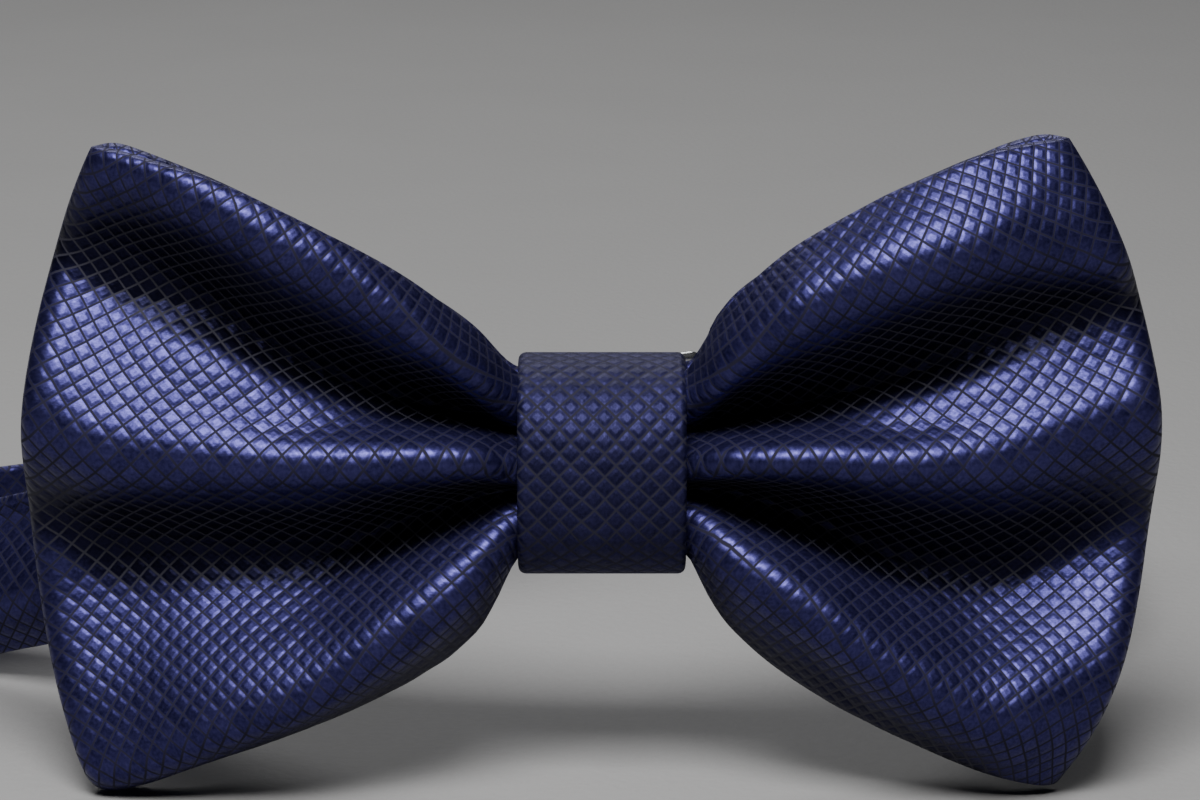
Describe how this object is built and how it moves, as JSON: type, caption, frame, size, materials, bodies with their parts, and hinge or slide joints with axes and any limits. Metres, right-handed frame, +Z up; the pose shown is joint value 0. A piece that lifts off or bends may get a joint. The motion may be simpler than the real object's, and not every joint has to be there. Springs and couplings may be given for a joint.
{
  "type": "bow tie",
  "caption": "Pre-tied dress bow tie with pleated wings, a wrapped knot and a closed neckband with hook, eye and slide.",
  "frame": {"origin": "centre of the knot's flat back face, which rests on the collar", "axes": "+X to the right seen from the front, +Y from the bow towards the wearer, +Z up"},
  "size_m": [0.1439, 0.1208, 0.0708],
  "materials": {
    "jacquard": "navy satin with a small woven diamond lattice",
    "interlining": "plain undyed canvas",
    "thread": "navy sewing thread",
    "hardware": "plated, smooth"
  },
  "bodies": {
    "bow": {"bow_cloth": "jacquard", "bow_interlining": "interlining", "waist_thread": "thread", "knot_cloth": "jacquard", "knot_interlining": "interlining", "knot_closing_stitches": "thread", "neckband_cloth": "jacquard", "neckband_interlining": "interlining", "neckband_bend": "jacquard", "eye_fold_stitches": "thread"},
    "tail": {"neckband_tail_cloth": "jacquard", "neckband_tail_interlining": "interlining", "returned_ply": "jacquard"},
    "slide": {"adjuster_slide": "hardware", "adjuster_fold": "jacquard", "adjuster_stitches": "thread"},
    "hook": {"hook": "hardware"},
    "eye": {"eye": "hardware"}
  },
  "joints": [
    {"name": "band_opening", "type": "hinge", "parent": "bow", "child": "tail", "pos_m": [-0.0827, 0.04048, -0.0245], "axis": [0, 0, 1], "range_deg": [0, 110], "deforming": ["neckband_bend"]},
    {"name": "adjuster_slide", "type": "slide", "parent": "tail", "child": "slide", "axis": [0.887, 0.4617, 0], "range_m": [0, 0.03], "deforming": ["returned_ply"]},
    {"name": "hook_swivel", "type": "hinge", "parent": "tail", "child": "hook", "pos_m": [-0.0086, 0.08723, -0.0245], "axis": [0, 0, 1], "range_deg": [0, 100]},
    {"name": "eye_swivel", "type": "hinge", "parent": "bow", "child": "eye", "pos_m": [0.01209, 0.0962, -0.0245], "axis": [0, 0, 1], "range_deg": [0, 90]}
  ]
}
